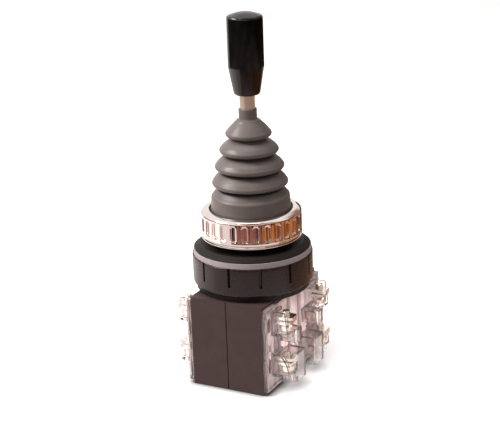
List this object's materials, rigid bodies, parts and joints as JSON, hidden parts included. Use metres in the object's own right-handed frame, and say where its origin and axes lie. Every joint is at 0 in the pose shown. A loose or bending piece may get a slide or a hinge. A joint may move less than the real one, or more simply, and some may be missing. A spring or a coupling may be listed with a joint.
{
  "type": "industrial joystick",
  "caption": "Panel joystick: a sprung lever with a bellows boot tilts on a gimbal and works plungers in two screw-terminal contact blocks behind the panel.",
  "frame": {"origin": "on the lever's axis, in the plane of the panel seat, which is the flat top of the sealing washer that meets the back of the panel", "axes": "+Z out of the panel towards the knob, +X towards the right contact block, +Y towards the back terminals"},
  "size_m": [0.0484, 0.0462, 0.1392],
  "materials": {
    "neck_plastic": "moulded, fine matt",
    "collar_plastic": "moulded, fine matt",
    "washer_rubber": "smooth black rubber",
    "gasket_rubber": "light grey rubber",
    "boot_rubber": "smooth grey rubber",
    "ring_chrome": "bright plated",
    "knob_plastic": "polished black phenolic",
    "insert_brass": "turned",
    "shaft_steel": "bright plated rod",
    "block_plastic": "moulded phenolic, satin",
    "cover_clear": "clear moulded cover",
    "terminal_metal": "nickel plated brass",
    "screw_steel": "zinc plated",
    "contact_silver": "silver alloy",
    "contact_bronze": "spring bronze",
    "cast_zinc": "die cast",
    "nylon": "natural nylon",
    "plunger_plastic": "moulded",
    "pin_steel": "ground",
    "spring_steel": "drawn wire"
  },
  "bodies": {
    "housing": {"barrel_housing": "neck_plastic", "pivot_carrier": "cast_zinc", "pin_guide": "nylon", "sealing_washer": "washer_rubber", "flange_gasket": "gasket_rubber", "locking_collar": "collar_plastic", "ring_nut": "ring_chrome", "boot": "boot_rubber", "left_block_housing": "block_plastic", "right_block_housing": "block_plastic", "left_block_cover": "cover_clear", "right_block_cover": "cover_clear", "block_screws": "screw_steel", "left_terminal_strips": "terminal_metal", "right_terminal_strips": "terminal_metal", "fixed_contact_tips": "contact_silver", "clamp_washers": "terminal_metal", "terminal_screws": "screw_steel"},
    "gimbal": {"gimbal_ring": "cast_zinc", "outer_pivot_pins": "pin_steel", "inner_pivot_pins": "pin_steel"},
    "lever": {"lever_hub": "nylon", "lever_shaft": "shaft_steel", "spider_plate": "pin_steel", "hub_nut": "screw_steel", "knob": "knob_plastic", "knob_insert": "insert_brass"},
    "left_front_contact": {"left_front_pin": "nylon", "left_front_plunger": "plunger_plastic", "left_front_contact_bridge": "contact_bronze", "left_front_contact_spring": "spring_steel", "left_front_return_spring": "spring_steel"},
    "right_front_contact": {"right_front_pin": "nylon", "right_front_plunger": "plunger_plastic", "right_front_contact_bridge": "contact_bronze", "right_front_contact_spring": "spring_steel", "right_front_return_spring": "spring_steel"},
    "left_back_contact": {"left_back_pin": "nylon", "left_back_plunger": "plunger_plastic", "left_back_contact_bridge": "contact_bronze", "left_back_contact_spring": "spring_steel", "left_back_return_spring": "spring_steel"},
    "right_back_contact": {"right_back_pin": "nylon", "right_back_plunger": "plunger_plastic", "right_back_contact_bridge": "contact_bronze", "right_back_contact_spring": "spring_steel", "right_back_return_spring": "spring_steel"}
  },
  "joints": [
    {"name": "tilt_outer", "type": "hinge", "parent": "housing", "child": "gimbal", "pos_m": [0, 0, 0.002], "axis": [0.7071, 0.7071, 0], "range_deg": [-12, 12], "stiffness_Nm_per_rad": 0.9, "deforming": ["boot"]},
    {"name": "tilt_inner", "type": "hinge", "parent": "gimbal", "child": "lever", "pos_m": [0, 0, 0.002], "axis": [-0.7071, 0.7071, 0], "range_deg": [-12, 12], "stiffness_Nm_per_rad": 0.9, "deforming": ["boot"]},
    {"name": "right_front_travel", "type": "slide", "parent": "housing", "child": "right_front_contact", "axis": [0, 0, -1], "range_m": [-0.00185, 0.00185], "deforming": ["right_front_return_spring"]},
    {"name": "left_back_travel", "type": "slide", "parent": "housing", "child": "left_back_contact", "axis": [0, 0, -1], "range_m": [-0.00185, 0.00185], "deforming": ["left_back_return_spring"]},
    {"name": "right_back_travel", "type": "slide", "parent": "housing", "child": "right_back_contact", "axis": [0, 0, -1], "range_m": [-0.00185, 0.00185], "deforming": ["right_back_return_spring"]},
    {"name": "left_front_travel", "type": "slide", "parent": "housing", "child": "left_front_contact", "axis": [0, 0, -1], "range_m": [-0.00185, 0.00185], "deforming": ["left_front_return_spring"]}
  ],
  "couplings": [
    {"joint": "right_front_travel", "follows": "tilt_outer", "m_per_rad": 0.00869},
    {"joint": "left_back_travel", "follows": "tilt_outer", "m_per_rad": -0.00869},
    {"joint": "right_back_travel", "follows": "tilt_inner", "m_per_rad": 0.00869},
    {"joint": "left_front_travel", "follows": "tilt_inner", "m_per_rad": -0.00869}
  ]
}
